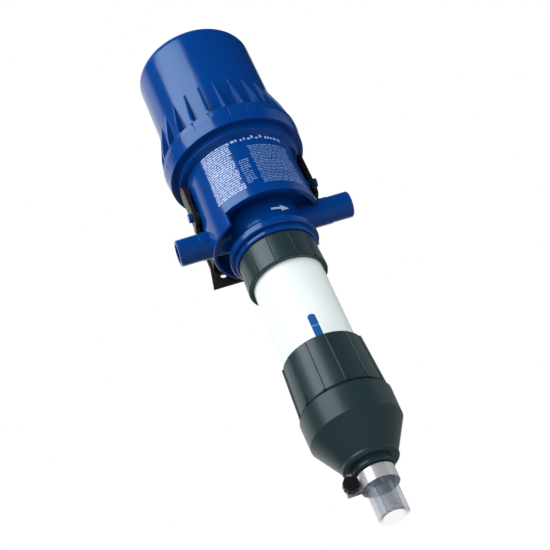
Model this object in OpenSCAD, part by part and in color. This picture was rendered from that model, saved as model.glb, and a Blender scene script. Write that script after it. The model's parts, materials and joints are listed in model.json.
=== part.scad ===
// Water-powered dosing pump on its wall bracket.
// Heights inside the modules are measured from the axis of the two pipe stubs, on the pump's own axis.
// place() moves a piece into the shared frame: origin on the wall, at the centre of the bracket's bolts.

/* [Placing] */
// Distance from the wall to the pump's axis
wall_gap = 76; // [74.5:0.5:90]
// Height of the bolt pattern's centre above the stub axis
bolts_up = 40; // [38:1:46]

/* [Bell housing] */
// Outer radius of the plain upper part
bell_r = 60.5; // [59:0.5:62]
// Wall of the bell
bell_wall = 4; // [3:0.5:5]
// Height of the bell's shoulder, where the top edge is round
bell_shoulder = 231; // [226:1:240]
// Radius of the round top edge
bell_edge = 10; // [6:1:14]
// Rise of the domed top above the shoulder
bell_dome = 2.5; // [1:0.5:4]
// Outer radius of the rim ring under the fins
rim_r = 71.3; // [70.5:0.1:72]
// Height where the fins run out into the plain wall
fin_top = 149; // [140:1:156]
// Height of the rim ring's upper edge, where the fins stand
rim_top = 103.6; // [103:0.2:106]
// Height of the rim ring's lower edge
rim_bottom = 82.4; // [82:0.2:84]
// Number of fins around the bell
fins = 24; // [12:1:30]
// Thickness of a fin
fin_t = 2.2; // [1.5:0.1:3]
// Wall of the rim ring outside the thread
rim_wall = 5.7; // [5:0.1:7]

/* [Body] */
// Outer radius of the body under the flange
body_r = 55.4; // [54.5:0.1:56.5]
// Outer radius at the skirt's lower lip
lip_r = 57.6; // [57:0.1:58.2]
// Wall of the body
body_wall = 3.6; // [3:0.2:4]
// Height of the underside of the body's flange
flange_z = 76; // [75:0.5:78]
// Outer radius of the body's flange
flange_r = 62; // [60:0.5:64]
// Height of the top of the body's threaded ring
body_top = 96; // [95:0.2:97]
// Height of the motor floor's upper face
floor_top = 14; // [13.8:0.1:16]
// Thickness of the motor floor
floor_t = 6; // [4:0.5:8]
// Depth of the skirt's lower lip under the stub axis
lip_depth = 16.5; // [14:0.5:18]
// Depth of the front recess's upper edge under the stub axis
recess_depth = 1; // [0:0.5:4]
// Angle from the front to the recess's left-hand edge
recess_left = 43; // [35:1:48]
// Angle from the front to the recess's right-hand edge, behind the outlet stub
recess_right = 118; // [112:1:125]
// Radius of the neck that carries the flow arrow
neck_r = 37.5; // [36.5:0.5:39]
// Outer radius of the collar under the neck
collar_r = 45; // [43:0.5:47]
// Radius of the central chamber
chamber_r = 30; // [27:0.5:31]

/* [Pipe stubs] */
// Outer radius of a pipe stub, a three-quarter inch male thread
stub_r = 13.2; // [12.8:0.1:13.4]
// Bore radius of a pipe stub
stub_bore = 9.5; // [8:0.5:10.5]
// Half of the distance over both stubs
stub_half = 88.5; // [86:0.5:96]
// Length of a stub's threaded end
stub_thread = 22.5; // [18:0.5:24]

/* [Wall bracket] */
// Half of the wall plate's width at its lower edge
plate_half = 56; // [54:1:60]
// Half of the wall plate's width from the saddle's lower edge up
plate_upper_half = 51.6; // [50:0.2:54]
// Thickness of the wall plate
plate_t = 4; // [3:0.5:4]
// Height of the plate's lower edge above the stub axis
plate_bottom = 1; // [-4:1:6]
// Height of the plate's upper edge above the stub axis
plate_top = 80; // [76:1:81]
// Inner radius of the saddle that holds the body
saddle_in = 59.4; // [59:0.2:60.4]
// Thickness of the saddle
saddle_t = 4; // [3:0.5:5]
// Distance of the saddle's front edges in front of the pump axis
saddle_front = 12; // [10:0.5:16]
// Height of the saddle's lower edge
saddle_bottom = 21; // [17:0.5:24]
// Height of the saddle's upper edge
saddle_top = 73; // [68:0.5:73]
// Radius of the saddle's rounded front corners
saddle_corner = 8; // [4:1:12]
// Half distance between the wall bolts, sideways
bolt_x = 42; // [36:1:46]
// Half distance between the wall bolts, upwards
bolt_z = 27; // [20:1:30]
// Radius of a wall bolt hole
bolt_r = 3.3; // [2.6:0.1:4]
// Radius of a body pin
pin_r = 4.6; // [4:0.1:5.5]
// Height of the body pins above the stub axis
pin_z = 35; // [30:1:42]
// Distance of the body pins in front of the pump axis
pin_y = 3; // [0:0.5:5]
// Half distance over both pin ends
pin_half = 66.5; // [65:0.5:69]

/* [Motor] */
// Stroke of the motor piston
motor_stroke = 45; // [30:1:47]
// Inner radius of the cylinder liner
liner_r = 40.2; // [39.5:0.1:40.6]
// Wall of the cylinder liner
liner_wall = 3; // [2.5:0.1:3.4]
// Height of the liner's upper edge
liner_top = 95; // [90:0.5:95]
// Height of the piston head's underside
head_z = 112; // [111:0.5:114]
// Thickness of the piston head's plate
head_t = 5; // [4:0.5:6]
// Height of the piston head's rim
head_rim = 12; // [11:0.5:14]
// Height of the piston skirt's lower edge
skirt_z = 36; // [30:1:40]
// Wall of the piston skirt
skirt_wall = 3; // [2.5:0.1:3.5]
// Travel of the valve gear on the piston
valve_travel = 6; // [4:0.5:6]

/* [Dosing side] */
// Outer radius of the white dosing cylinder
dose_r = 35; // [34:0.2:35.2]
// Wall of the dosing cylinder
dose_wall = 4; // [3:0.5:5]
// Depth of the dosing cylinder's lower end
dose_end = 205; // [200:1:208]
// Radius of the plunger rod
rod_r = 5; // [4:0.2:6]
// Bore radius of the inner sleeve
sleeve_r = 18; // [16:0.5:19]
// Wall of the inner sleeve
sleeve_wall = 3; // [2:0.5:4]
// Depth of the sleeve's upper edge
sleeve_top = 175; // [165:1:180]
// Depth of the plunger's lower face
plunger_end = 204.5; // [200:0.5:205]

/* [Retaining ring] */
// Depth of the ring's upper edge
ring_top = 36.9; // [36.7:0.1:38]
// Depth of the ring's lower edge
ring_end = 68.7; // [67:0.1:72]
// Outer radius at the ring's upper edge
ring_r1 = 38.6; // [38.3:0.1:39.5]
// Outer radius at the ring's lower edge
ring_r2 = 39.7; // [39.5:0.1:42]

/* [Adjusting nut and cup] */
// Depth of the nut's upper edge
nut_top = 159.6; // [150:0.2:165]
// Depth of the nut's lower edge
nut_end = 216; // [214:0.5:217]
// Outer radius at the nut's upper edge
nut_r1 = 40.3; // [39.5:0.1:42]
// Outer radius at the nut's lower edge
nut_r2 = 43; // [43:0.1:43.8]
// Number of ribs around the nut
nut_ribs = 12; // [6:1:18]
// Distance that a rib stands out of the nut
nut_rib_h = 1.2; // [0.6:0.1:1.3]
// Outer radius of the cup
cup_r = 44.2; // [43.8:0.1:46]
// Depth where the cup turns into its cone
cup_cone = 244; // [240:0.5:248]
// Outer radius at the cone's lower end
cone_r = 27; // [26:0.5:30]
// Depth of the cone's lower end
cone_end = 279; // [276:0.5:282]
// Outer radius of the cup's boss
boss_r = 20; // [17.5:0.5:22]
// Depth of the boss's lower face
boss_end = 285.2; // [284:0.1:286]

/* [Hose] */
// Outer radius of the hose
hose_r = 14.4; // [13.5:0.1:15]
// Bore radius of the hose
hose_bore = 10.5; // [9:0.1:11]
// Depth of the hose's cut end
hose_end = 330; // [320:1:345]
// Width of the clamp band
clamp_w = 13; // [9:0.5:14]
// Outer radius of the clamp band
clamp_r = 17.8; // [17.7:0.1:18.2]

/* [Hidden] */
$fn = 96;
eps = 0.01;
// Clearance between pieces that only seat on each other
seat = 0.15;
// Running clearance between a shaft and its bore
fit = 0.1;
blue = [0.02, 0.24, 0.55];
slate = [0.16, 0.21, 0.23];
seal_black = [0.07, 0.07, 0.07];
steel = [0.72, 0.73, 0.75];
ivory = [0.9, 0.92, 0.91];

bell_bore = bell_r - bell_wall;
bell_ceiling = bell_shoulder - bell_wall - 0.5;
bell_crown = bell_shoulder + bell_dome;
saddle_out = saddle_in + saddle_t;
pin_fit = 0.3;
web_t = 3;
web_mid_x = 18;
web_side_x = 47.5;
// Distance behind the axis where a web's outer corner lies just inside the saddle's outer face
function web_root(x) = sqrt(pow(saddle_out - 0.4, 2) - x * x);
rim_edge = 0.8;
rim_straight = 7;
rim_draft = 1.6;
rim_groove = 0.7;
rim_groove_w = 0.8;
fin_first = -91.5;
fin_root = 1;
thread_r = rim_r - rim_wall;
thread_wall = 7.5;
thread_ramp = 7;
thread_bottom = thread_r > flange_r ? rim_bottom + 0.6 : rim_bottom - seat;
bell_seal_in = 4.3;
thread_fit = 0.3;
bell_ledge = 4;
bell_step = body_top + bell_ledge;
body_bore = body_r - body_wall;
floor_z = floor_top - floor_t;
stub_root = neck_r - 3;
stub_step = 0.5;
stub_chamfer = 1.4;
liner_out = liner_r + liner_wall;
spigot_r = liner_r - 0.3;
spigot_h = 9;
spigot_wall = 6;
liner_section = 1.6;
skirt_r = liner_r - 0.3;
skirt_bore = skirt_r - skirt_wall;
head_r = bell_bore - 0.3;
head_top = head_z + head_t;
head_wall = 5;
head_groove = 2.6;
head_seal_h = 3.6;
head_seal_z = head_z + head_rim - 4;
rod_boss_h = 14;
rod_boss_wall = 4;
rod_pin_drop = 8;
rod_pin_l = 22;
small_pin_r = 1.5;
pin_play = 0.05;
hub_wall = 3;
post_w = 8;
post_t = 2.8;
post_mid = 6.4;
toggle_pin_l = 17;
valve_ring_r = (skirt_r + head_r) / 2;
lower_ring_r = 22;
valve_disc_r = 7;
valve_hole_r = 5;
disc_t = 3;
valve_stem_r = 2;
valve_play = 0.4;
valve_lift_gap = 0.5;
lower_valve_gap = 0.2;
trip_r = (liner_r + liner_out) / 2;
trip_leg_r = liner_wall / 2;
trip_gap = 0.5;
bridge_z = head_top + 13;
bridge_t = 4;
bridge_mid = bridge_z + bridge_t / 2;
pivot_z = bridge_mid + valve_travel / 2;
pivot_x = 44;
eye_x = 14;
eye_t = 4;
link_r = 1.5;
link_eye_r = 3.2;
link_eye_l = 8;
toggle_tilt = atan((valve_travel / 2) / (pivot_x - eye_x));
valve_rod_r = 3;
rod_gap = 3;
hub_top = head_top + 10;
neck_end = 17;
collar_top = 23.2;
collar_end = 31;
step_r = collar_r - 4;
step_end = ring_top - 0.3;
chamber_end = 38;
body_thread_r = ring_r1 - 2.2;
spigot_out = body_thread_r - 4.4;
body_thread_end = 58;
ring_bore = body_thread_r + 0.3;
dose_flange = 63.5;
dose_spigot_top = 40;
dose_section = 1.15;
dose_oring = 46;
sleeve_out = sleeve_r + sleeve_wall;
cup_floor = 260;
pocket_end = cup_floor + 4;
cup_bore = dose_r + 0.6;
neck_out = cup_bore + 3.3;
neck_top = nut_end - 10;
cup_top = nut_end + 1;
clip_z = nut_end - 5;
clip_out = neck_out + 1.5;
barb_r = 12.5;
barb_bore = 8.5;
barb_body_r = 13.9;
hose_top = boss_end + 0.4;
clamp_z = hose_top + 1.4;
ear_len = 12.5;
ear_t = 1.15;
ear_gap = 1.8;
tab_x = boss_r + 0.6;
tab_w = 4;
tab_h = 5.6;
screw_x = clamp_r + 7.5;
screw_r = 2.5;
knob_r = 7.3;

// Moves a piece from the pump's axis into the shared frame.
module place() {
    translate([0, -wall_gap, -bolts_up])
        children();
}

// A straight tube between two heights.
module tube(r_out, r_in, z0, z1) {
    translate([0, 0, z0])
        difference() {
            cylinder(r = r_out, h = z1 - z0);
            translate([0, 0, -eps])
                cylinder(r = r_in, h = z1 - z0 + 2 * eps);
        }
}

// An O-ring around the pump's axis, made by turning its round section.
module oring(r_mid, section, z) {
    translate([0, 0, z])
        rotate_extrude($fn = 72)
            translate([r_mid, 0])
                circle(r = section, $fn = 20);
}

// Copies placed at even angles around the axis.
module around(count, first = 0) {
    for (i = [0 : count - 1])
        rotate([0, 0, first + i * 360 / count])
            children();
}

// One point of a coil spring's wire surface.
function coil_point(t, a, coil_r, wire_r, z0, height, turns) =
    let (turn = 360 * turns * t, reach = coil_r + wire_r * cos(a))
    [reach * cos(turn), reach * sin(turn), z0 + height * t + wire_r * sin(a)];

// A coil spring along Z, as a wire swept along its turns.
module coil(coil_r, wire_r, z0, height, turns, steps = 14, sides = 6) {
    count = turns * steps;
    points = [for (i = [0 : count]) for (j = [0 : sides - 1])
        coil_point(i / count, j * 360 / sides, coil_r, wire_r, z0, height, turns)];
    sides_faces = [for (i = [0 : count - 1]) for (j = [0 : sides - 1])
        [i * sides + j, (i + 1) * sides + j, (i + 1) * sides + (j + 1) % sides, i * sides + (j + 1) % sides]];
    first_face = [for (j = [0 : sides - 1]) j];
    last_face = [for (j = [0 : sides - 1]) count * sides + sides - 1 - j];
    polyhedron(points = points, faces = concat(sides_faces, [first_face], [last_face]), convexity = 6);
}

// Outline of the round top edge, from the dome to the wall.
function edge_points(steps = 8) = [for (i = [0 : steps])
    let (a = 90 - 90 * i / steps)
    [bell_r - bell_edge + bell_edge * cos(a), bell_shoulder - bell_edge + bell_edge * sin(a)]];

// Plain wall and dome, with the rim ring that screws onto the body's thread.
module bell_shell() {
    rotate_extrude()
        polygon(concat(
            [[0, bell_crown], [(bell_r - bell_edge) / 2, bell_shoulder + bell_dome * 0.75]],
            edge_points(),
            [[bell_r, rim_top], [rim_r - rim_edge, rim_top], [rim_r, rim_top - rim_edge],
             [rim_r, rim_top - rim_straight], [rim_r - rim_draft, rim_bottom], [thread_r + thread_fit, rim_bottom],
             [thread_r + thread_fit, bell_step], [bell_bore, bell_step], [bell_bore, bell_ceiling], [0, bell_ceiling]]
        ));
}

// One fin, which stands on the rim ring and runs out into the wall above it.
module bell_fin() {
    rotate([90, 0, 0])
        linear_extrude(fin_t, center = true)
            polygon([
                [bell_r - fin_root, rim_top - fin_root], [rim_r - rim_edge, rim_top - fin_root],
                [rim_r - rim_edge, rim_top + 3], [rim_r - 2.7, rim_top + 14.5],
                [bell_r, fin_top], [bell_r - fin_root, fin_top]
            ]);
}

module bell_housing() {
    color(blue)
        place()
            difference() {
                union() {
                    bell_shell();
                    around(fins, fin_first)
                        bell_fin();
                }
                around(fins, fin_first)
                    translate([rim_r - rim_groove, -rim_groove_w / 2, rim_bottom - eps])
                        cube([rim_groove + 1, rim_groove_w, rim_top - rim_edge - rim_bottom]);
                translate([0, 0, bell_ceiling - eps])
                    cylinder(r = bleed_hole_r, h = bell_crown - bell_ceiling + 1);
                translate([0, 0, bleed_floor])
                    cylinder(r = bleed_recess_r, h = bell_crown - bleed_floor + 1);
            }
}

module bell_oring() {
    color(seal_black)
        place()
            oring(thread_r - bell_seal_in, bell_ledge / 2 - seat, body_top + bell_ledge / 2);
}

// Air bleed in the bell's top
bleed_hole_r = 4.2;
bleed_recess_r = 12;
bleed_floor = bell_ceiling + 3;
bleed_travel = 3;
bleed_cap_z = bleed_floor + bleed_travel + 2.5;
bleed_stem_r = bleed_hole_r - 0.3;
bleed_stem_end = bell_ceiling - 6.5;
bleed_poppet_top = bell_ceiling - 1.7;

module bleed_button() {
    color(slate)
        place() {
            translate([0, 0, bleed_cap_z])
                cylinder(r1 = bleed_recess_r - 1, r2 = bleed_recess_r - 1.8, h = 3.5);
            translate([0, 0, bleed_stem_end])
                cylinder(r = bleed_stem_r, h = bleed_cap_z - bleed_stem_end + eps);
        }
}

module bleed_poppet() {
    color(slate)
        place()
            tube(7.5, bleed_stem_r, bleed_poppet_top - 3.3, bleed_poppet_top);
}

module bleed_oring() {
    color(seal_black)
        place()
            oring(6, 0.75, bleed_poppet_top + 0.8);
}

module bleed_spring() {
    color(steel)
        place()
            coil(6.2, 0.5, bleed_floor + 0.6, bleed_cap_z - bleed_floor - 1.2, 2.5);
}

// The body's wall from the flange down to the lip, with its floor and threaded ring.
module body_shell() {
    rotate_extrude()
        polygon([
            [body_bore, floor_top], [body_bore, flange_z + 2], [thread_r - thread_wall, flange_z + thread_ramp],
            [thread_r - thread_wall, body_top], [thread_r, body_top], [thread_r, thread_bottom],
            [flange_r, thread_bottom], [flange_r, flange_z], [body_r, flange_z - 2.5],
            [lip_r, -lip_depth + 1], [lip_r - 0.6, -lip_depth], [lip_r - body_wall + 0.6, -lip_depth],
            [body_bore, floor_z], [0, floor_z], [0, floor_top]
        ]);
}

// Neck, collar and the threaded tail that the dosing cylinder seats in.
module neck_solid() {
    rotate_extrude()
        polygon([
            [0, floor_top], [neck_r, floor_top], [neck_r, -neck_end], [neck_r + 1.2, -collar_top + 1.7],
            [collar_r - 1, -collar_top], [collar_r, -collar_top - 1.2], [collar_r, -collar_end + 1],
            [collar_r - 1, -collar_end], [step_r, -collar_end], [step_r, -step_end + 1],
            [step_r - 1, -step_end], [body_thread_r, -step_end],
            [body_thread_r, -body_thread_end], [0, -body_thread_end]
        ]);
}

// Wedge that opens the skirt from the left of the front round to a place behind the outlet stub.
module recess_cutter() {
    reach = lip_r * 1.6;
    translate([0, 0, -lip_depth - eps])
        linear_extrude(lip_depth - recess_depth + eps)
            polygon(concat(
                [[0, 0]],
                [for (a = [-recess_left, 0, recess_right / 2, recess_right]) [reach * sin(a), -reach * cos(a)]]
            ));
}

// Pipe stub: a root a little thicker than the thread, and a chamfered mouth.
module stub(side) {
    length = stub_half - stub_root;
    rotate([0, side * 90, 0])
        translate([0, 0, stub_root])
            rotate_extrude()
                polygon([
                    [0, 0], [stub_r + stub_step, 0], [stub_r + stub_step, length - stub_thread],
                    [stub_r, length - stub_thread], [stub_r, length - stub_chamfer],
                    [stub_r - stub_chamfer, length], [0, length]
                ]);
}

// Bore of a stub from its mouth inward to the given distance from the axis.
module stub_way(side, inner) {
    rotate([0, side * 90, 0])
        translate([0, 0, inner])
            cylinder(r = stub_bore, h = stub_half - inner + 1);
}

// Slot that carries the inlet water up into the gap around the liner.
module riser_slot() {
    intersection() {
        tube(body_bore, liner_out + 0.6, 0, floor_top + 1);
        translate([-body_bore - 1, -8, 0])
            cube([14, 16, floor_top + 2]);
    }
}

module body_pins() {
    for (side = [-1, 1])
        translate([side * (body_bore + 1.4), -pin_y, pin_z])
            rotate([0, side * 90, 0])
                cylinder(r = pin_r, h = pin_half - body_bore - 1.4);
}

module pump_body() {
    color(blue)
        place()
            difference() {
                union() {
                    difference() {
                        body_shell();
                        recess_cutter();
                    }
                    neck_solid();
                    stub(-1);
                    stub(1);
                    body_pins();
                    tube(spigot_r, spigot_r - spigot_wall, floor_top - eps, floor_top + spigot_h);
                }
                translate([0, 0, -chamber_end])
                    cylinder(r = chamber_r, h = floor_top + chamber_end + spigot_h + 1);
                translate([0, 0, -body_thread_end - 1])
                    cylinder(r = spigot_out + thread_fit, h = body_thread_end - chamber_end + 1);
                stub_way(1, chamber_r - 4);
                stub_way(-1, liner_out - 1);
                riser_slot();
                oring_groove(spigot_r, 2 * liner_section, floor_top + spigot_h / 2, 2 * liner_section + 0.4);
            }
}

// Groove cut into an outer surface for an O-ring.
module oring_groove(r_out, depth, z, width) {
    tube(r_out + 1, r_out - depth, z - width / 2, z + width / 2);
}

module cylinder_liner() {
    color(ivory)
        place()
            difference() {
                union() {
                    tube(liner_out, liner_r, floor_top, liner_top);
                    tube(liner_out + 0.4, liner_r, floor_top, floor_top + 4);
                }
                translate([0, 0, liner_top - 1])
                    cylinder(r1 = liner_r, r2 = liner_r + 1.2, h = 1 + eps);
            }
}

module liner_oring() {
    color(seal_black)
        place()
            oring(liner_r - fit - liner_section, liner_section, floor_top + spigot_h / 2);
}

module dosing_cylinder() {
    color(ivory)
        place()
            difference() {
                rotate_extrude()
                    polygon([
                        [dose_r - dose_wall, -dose_end], [dose_r - 1, -dose_end], [dose_r, -dose_end + 1],
                        [dose_r, -dose_flange], [body_thread_r - 0.1, -dose_flange],
                        [body_thread_r - 0.1, -body_thread_end - 0.05], [spigot_out, -body_thread_end - 0.05],
                        [spigot_out, -dose_spigot_top - 1], [spigot_out - 1, -dose_spigot_top],
                        [spigot_out - 4.5, -dose_spigot_top], [spigot_out - 4.5, -body_thread_end - 2],
                        [dose_r - dose_wall, -body_thread_end - 7]
                    ]);
                oring_groove(spigot_out, 2 * dose_section, -dose_oring, 2 * dose_section + 0.4);
            }
}

module cylinder_oring() {
    color(seal_black)
        place()
            oring(spigot_out + thread_fit - fit - dose_section, dose_section, -dose_oring);
}

module retaining_ring() {
    color(slate)
        place()
            difference() {
                rotate_extrude()
                    polygon([
                        [ring_bore, -ring_top], [ring_r1 - 0.5, -ring_top], [ring_r1, -ring_top - 0.5],
                        [ring_r2, -ring_end + 1], [ring_r2 - 0.8, -ring_end], [dose_r + 0.3, -ring_end],
                        [dose_r + 0.3, -dose_flange - 0.1], [ring_bore, -dose_flange - 0.1]
                    ]);
                around(12, 13)
                    translate([ring_r1 - 0.5, -0.6, -ring_end - eps])
                        cube([4, 1.2, ring_end - ring_top - 2]);
            }
}

// Side view of the saddle, with its two front corners rounded.
module saddle_side() {
    back = wall_gap - plate_t;
    for (z = [saddle_bottom + saddle_corner, saddle_top - saddle_corner])
        translate([-saddle_front + saddle_corner, z])
            circle(r = saddle_corner);
    translate([-saddle_front, saddle_bottom + saddle_corner])
        square([back, saddle_top - saddle_bottom - 2 * saddle_corner]);
    translate([-saddle_front + saddle_corner, saddle_bottom])
        square([back, saddle_top - saddle_bottom]);
}

// Curved saddle around the body's back and sides, open at the front, with a hole for each body pin.
module saddle() {
    difference() {
        intersection() {
            tube(saddle_out, saddle_in, saddle_bottom, saddle_top);
            rotate([90, 0, 90])
                linear_extrude(2 * saddle_out + 2, center = true)
                    saddle_side();
        }
        translate([0, -pin_y, pin_z])
            rotate([0, 90, 0])
                cylinder(r = pin_r + pin_fit, h = 2 * saddle_out + 2, center = true);
    }
}

// Upright web between the saddle and the wall plate, from x to x + web_t.
module web(x, y) {
    translate([x, y, saddle_bottom])
        cube([web_t, wall_gap - plate_t - y + eps, saddle_top - saddle_bottom]);
}

module wall_bracket() {
    color([0.06, 0.07, 0.07])
        place()
            difference() {
                union() {
                    translate([0, wall_gap, 0])
                        rotate([90, 0, 0])
                            linear_extrude(plate_t)
                                polygon([
                                    [-plate_half, plate_bottom], [plate_half, plate_bottom],
                                    [plate_upper_half, saddle_bottom + 6], [plate_upper_half, plate_top],
                                    [-plate_upper_half, plate_top], [-plate_upper_half, saddle_bottom + 6]
                                ]);
                    saddle();
                    for (x = [-web_mid_x - web_t / 2, web_mid_x - web_t / 2])
                        web(x, web_root(web_mid_x + web_t / 2));
                    for (x = [-web_side_x - web_t / 2, web_side_x - web_t / 2])
                        web(x, web_root(web_side_x + web_t / 2));
                }
                for (x = [-bolt_x, bolt_x])
                    for (z = [-bolt_z, bolt_z])
                        translate([x, wall_gap - plate_t - 1, bolts_up + z])
                            rotate([-90, 0, 0])
                                cylinder(r = bolt_r, h = plate_t + 2);
            }
}

module piston_head() {
    color(ivory)
        place()
            difference() {
                union() {
                    difference() {
                        translate([0, 0, head_z])
                            cylinder(r = head_r, h = head_rim);
                        translate([0, 0, head_top])
                            cylinder(r = head_r - head_wall, h = head_rim);
                    }
                    translate([0, 0, head_z - rod_boss_h])
                        cylinder(r = rod_r + rod_boss_wall, h = rod_boss_h + eps);
                    translate([0, 0, head_top - eps])
                        cylinder(r = valve_rod_r + hub_wall, h = hub_top - head_top);
                    for (side = [-1, 1])
                        for (y = [-post_mid, post_mid])
                            translate([side * pivot_x - post_w / 2, y - post_t / 2, head_top - eps])
                                cube([post_w, post_t, pivot_z + post_w / 2 - head_top]);
                }
                oring_groove(head_r, head_groove, head_seal_z, head_seal_h + 0.4);
                translate([0, 0, head_z - rod_boss_h - 1])
                    cylinder(r = rod_r + pin_play, h = rod_boss_h + 1);
                translate([0, 0, head_top - 2])
                    cylinder(r = valve_rod_r + fit, h = hub_top);
                for (ring_r = [valve_ring_r, lower_ring_r])
                    around(4, 45)
                        translate([ring_r, 0, head_z - 1])
                            cylinder(r = valve_hole_r, h = head_t + 2, $fn = 48);
                around(2, 90)
                    translate([trip_r, 0, head_z - 1])
                        cylinder(r = 2 * trip_leg_r, h = head_t + 2, $fn = 48);
                translate([0, 0, head_z - rod_pin_drop])
                    cross_pin(small_pin_r + pin_play, 2 * (rod_r + rod_boss_wall) + 2);
                for (side = [-1, 1])
                    translate([side * pivot_x, 0, pivot_z])
                        cross_pin(small_pin_r + pin_play, toggle_pin_l + 2);
            }
}

// Plain round pin along Y, or the cutter for its hole.
module cross_pin(r, length) {
    rotate([90, 0, 0])
        cylinder(r = r, h = length, center = true, $fn = 32);
}

module toggle_pins() {
    color(steel)
        place()
            for (side = [-1, 1])
                translate([side * pivot_x, 0, pivot_z])
                    cross_pin(small_pin_r, toggle_pin_l);
}

module head_lip_seal() {
    color(seal_black)
        place()
            rotate_extrude()
                polygon([
                    [head_r - head_groove + 0.2, head_seal_z - head_seal_h / 2],
                    [head_r + 0.1, head_seal_z - head_seal_h / 2], [head_r + 0.2, head_seal_z],
                    [head_r + 0.1, head_seal_z + head_seal_h / 2],
                    [head_r - head_groove + 0.2, head_seal_z + head_seal_h / 2]
                ]);
}

module piston_skirt() {
    color(ivory)
        place()
            difference() {
                union() {
                    tube(skirt_r, skirt_bore, skirt_z, head_z);
                    tube(skirt_r, skirt_bore - 3, head_z - 3, head_z);
                }
                oring_groove(skirt_r, 1.8, skirt_z + 4, 3.4);
            }
}

module skirt_lip_seal() {
    color(seal_black)
        place()
            rotate_extrude()
                polygon([
                    [skirt_r - 1.7, skirt_z + 2.5], [skirt_r + 0.1, skirt_z + 2.5],
                    [skirt_r + 0.2, skirt_z + 4], [skirt_r + 0.1, skirt_z + 5.5], [skirt_r - 1.7, skirt_z + 5.5]
                ]);
}

plunger_t = 12;

module plunger_rod() {
    color(steel)
        place()
            difference() {
                union() {
                    translate([0, 0, -plunger_end + plunger_t])
                        cylinder(r = rod_r, h = plunger_end - plunger_t + head_z - 0.5);
                    translate([0, 0, -plunger_end + 1])
                        cylinder(r = rod_r - 2, h = plunger_t);
                }
                translate([0, 0, head_z - rod_pin_drop])
                    cross_pin(small_pin_r + pin_play, rod_pin_l);
            }
}

module rod_pin() {
    color(steel)
        place()
            translate([0, 0, head_z - rod_pin_drop])
                cross_pin(small_pin_r, rod_pin_l);
}

module dosing_plunger() {
    color(slate)
        place()
            difference() {
                translate([0, 0, -plunger_end])
                    cylinder(r = sleeve_r - 0.4, h = plunger_t);
                translate([0, 0, -plunger_end - 1])
                    cylinder(r = rod_r - 1.95, h = plunger_t + 2);
                translate([0, 0, -plunger_end - 1])
                    cylinder(r = 8, h = 6);
                oring_groove(sleeve_r - 0.4, 3, -plunger_end + 7, 4);
            }
}

module plunger_cup_seal() {
    color(seal_black)
        place()
            rotate_extrude()
                polygon([
                    [sleeve_r - 3.2, -plunger_end + 5.3], [sleeve_r - 0.3, -plunger_end + 5.3],
                    [sleeve_r - 0.15, -plunger_end + 7], [sleeve_r - 0.3, -plunger_end + 8.7],
                    [sleeve_r - 3.2, -plunger_end + 8.7]
                ]);
}

module plunger_nut() {
    color(steel)
        place()
            difference() {
                translate([0, 0, -plunger_end + 1])
                    cylinder(r = 6.4, h = 3.9, $fn = 6);
                translate([0, 0, -plunger_end])
                    cylinder(r = rod_r - 1.95, h = 6);
            }
}

valve_rod_top = bleed_stem_end - bleed_travel - motor_stroke - valve_travel - rod_gap;

module valve_rod() {
    color(steel)
        place()
            translate([0, 0, head_top + 0.5])
                cylinder(r = valve_rod_r, h = valve_rod_top - head_top - 0.5);
}

module valve_rod_clips() {
    color(steel)
        place()
            for (z = [bridge_z - 1.1, bridge_z + bridge_t + 0.1])
                tube(valve_rod_r + 2, valve_rod_r + 0.02, z, z + 1);
}

// Lever plate that carries the four pairs of valves, the trip legs and the eyes of the toggle links.
module valve_bridge() {
    color([0.85, 0.85, 0.83])
        place()
            difference() {
                union() {
                    translate([0, 0, bridge_z])
                        cylinder(r = 9, h = bridge_t);
                    around(4, 45)
                        translate([0, -2.5, bridge_z])
                            cube([valve_ring_r, 5, bridge_t]);
                    around(2, 90)
                        translate([0, -2.5, bridge_z])
                            cube([trip_r, 5, bridge_t]);
                    around(2, 90)
                        translate([trip_r, 0, liner_top + trip_gap])
                            cylinder(r = trip_leg_r, h = bridge_z + bridge_t - liner_top - trip_gap, $fn = 40);
                    around(4, 45)
                        for (r = [lower_ring_r, valve_ring_r])
                            translate([r, 0, bridge_z])
                                cylinder(r = 4, h = bridge_t, $fn = 40);
                    around(2)
                        translate([5, -4.5, bridge_z])
                            cube([eye_x + eye_t / 2 - 5, 9, bridge_t]);
                    around(2)
                        translate([eye_x - eye_t / 2, -4.5, bridge_z - 2])
                            cube([eye_t, 9, bridge_t + 4]);
                }
                translate([0, 0, bridge_z - 1])
                    cylinder(r = valve_rod_r + 0.05, h = bridge_t + 2);
                around(2)
                    translate([7, 0, bridge_mid])
                        rotate([0, 90, 0])
                            cylinder(r = link_r + 0.75, h = 12, $fn = 40);
                around(2)
                    translate([6.5, -link_r - 0.8, bridge_z - 3])
                        cube([eye_x - eye_t / 2 - 6.5, 2 * link_r + 1.6, bridge_t + 6]);
            }
}

// Four valve poppets on their stems, under or above the piston plate.
module poppet_group(ring_r, disc_z, stem_bottom, stem_top) {
    around(4, 45)
        translate([ring_r, 0, 0]) {
            translate([0, 0, disc_z])
                cylinder(r = valve_disc_r - valve_play, h = disc_t, $fn = 48);
            translate([0, 0, stem_bottom])
                cylinder(r = valve_stem_r, h = stem_top - stem_bottom, $fn = 32);
        }
}

module upper_valves() {
    color([0.75, 0.2, 0.15])
        place()
            poppet_group(
                valve_ring_r, head_z - valve_lift_gap - valve_travel - disc_t, head_z - valve_travel - disc_t, bridge_z
            );
}

module lower_valves() {
    color([0.75, 0.2, 0.15])
        place()
            poppet_group(lower_ring_r, head_top + lower_valve_gap, head_top + lower_valve_gap, bridge_z);
}

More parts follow.
